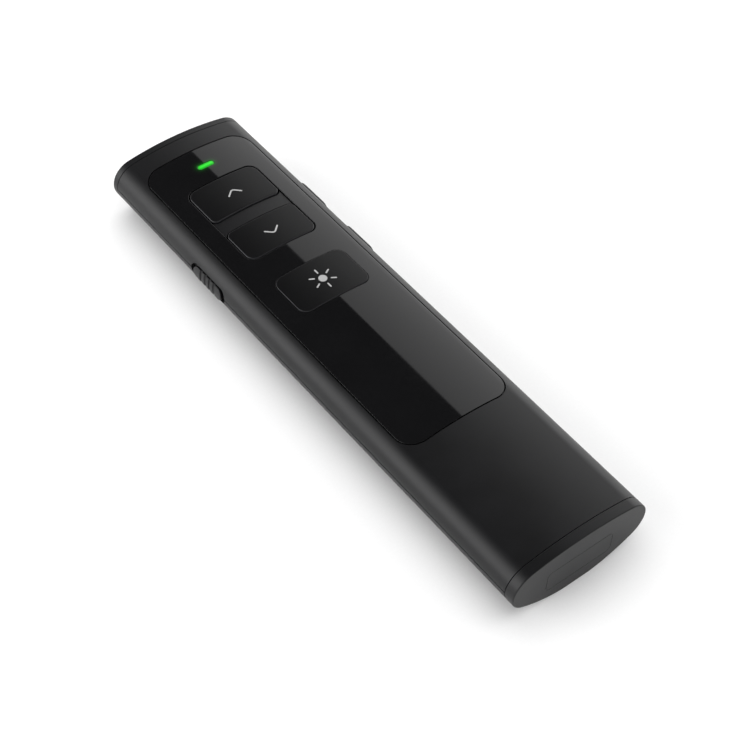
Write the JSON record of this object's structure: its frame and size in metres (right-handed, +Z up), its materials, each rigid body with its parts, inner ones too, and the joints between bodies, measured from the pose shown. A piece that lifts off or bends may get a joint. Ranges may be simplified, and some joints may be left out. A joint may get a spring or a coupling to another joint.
{
  "type": "wireless presentation clicker",
  "caption": "Slim oval hand remote for slides: page keys, a laser key, a power slider and volume keys on its sides, a battery inside and a receiver stored in its tail.",
  "frame": {"origin": "middle of the flat strip on the underside, at the bottom centre of the bounding box", "axes": "+Y along the body towards the laser end, +Z up through the face panel, +X to the right, seen from above with the laser end away"},
  "size_m": [0.0308, 0.1216, 0.0131],
  "materials": {
    "shell": "soft-touch black ABS",
    "panel": "polished black acrylic",
    "keys": "fine matte black ABS",
    "side_keys": "matte black ABS",
    "status_light": "green clear acrylic light pipe",
    "lamp": "moulded LED package",
    "board": "green solder mask over glass-fibre laminate",
    "switch_body": "moulded switch housings",
    "plungers": "moulded nylon",
    "sheet_steel": "nickel-plated steel",
    "gold_contacts": "gold-flashed phosphor bronze",
    "laser_barrel": "turned brass",
    "lens": "polished lens",
    "window": "red clear acrylic",
    "battery": "printed metal sleeve of a battery",
    "screws": "zinc-plated steel",
    "receiver": "matte black ABS"
  },
  "bodies": {
    "body": {"upper_shell": "shell", "lower_shell": "shell", "face_panel": "panel", "front_cap": "shell", "rear_cap": "shell", "status_light": "status_light", "status_led": "lamp", "main_board": "board", "face_switches": "switch_body", "side_switches": "switch_body", "slide_switch": "sheet_steel", "radio_chip": "switch_body", "clock_crystal": "sheet_steel", "laser_barrel": "laser_barrel", "laser_lens": "lens", "laser_diode": "sheet_steel", "laser_window": "window", "battery": "battery", "battery_plus_contact": "gold_contacts", "battery_minus_contact": "sheet_steel", "battery_spring": "sheet_steel", "case_screws": "screws", "board_screws": "screws"},
    "page_up": {"page_up_key": "keys", "page_up_plunger": "plungers"},
    "page_down": {"page_down_key": "keys", "page_down_plunger": "plungers"},
    "laser": {"laser_key": "keys", "laser_plunger": "plungers"},
    "volume_up": {"volume_up_key": "side_keys", "volume_up_plunger": "plungers"},
    "volume_down": {"volume_down_key": "side_keys", "volume_down_plunger": "plungers"},
    "slider": {"power_slider": "side_keys", "switch_lever": "switch_body"},
    "door": {"battery_door": "shell"},
    "receiver": {"receiver_cap": "receiver", "receiver_plug": "sheet_steel", "receiver_board": "board", "receiver_contacts": "gold_contacts"}
  },
  "joints": [
    {"name": "page_up_press", "type": "slide", "parent": "body", "child": "page_up", "axis": [0, 0, -1], "range_m": [0, 0.0003], "stiffness_N_per_m": 1500, "springref_m": -0.0002},
    {"name": "page_down_press", "type": "slide", "parent": "body", "child": "page_down", "axis": [0, 0, -1], "range_m": [0, 0.0003], "stiffness_N_per_m": 1500, "springref_m": -0.0002},
    {"name": "laser_press", "type": "slide", "parent": "body", "child": "laser", "axis": [0, 0, -1], "range_m": [0, 0.0003], "stiffness_N_per_m": 1500, "springref_m": -0.0002},
    {"name": "volume_up_press", "type": "slide", "parent": "body", "child": "volume_up", "axis": [-1, 0, 0], "range_m": [0, 0.0003], "stiffness_N_per_m": 1500, "springref_m": -0.0002},
    {"name": "volume_down_press", "type": "slide", "parent": "body", "child": "volume_down", "axis": [-1, 0, 0], "range_m": [0, 0.0003], "stiffness_N_per_m": 1500, "springref_m": -0.0002},
    {"name": "power_slide", "type": "slide", "parent": "body", "child": "slider", "axis": [0, 1, 0], "range_m": [-0.00075, 0.00075]},
    {"name": "battery_door_tilt", "type": "hinge", "parent": "body", "child": "door", "pos_m": [0, -0.0395, 0], "axis": [-1, 0, 0], "range_deg": [0, 30]},
    {"name": "receiver_pull", "type": "slide", "parent": "body", "child": "receiver", "axis": [0, -1, 0], "range_m": [0, 0.019]}
  ]
}
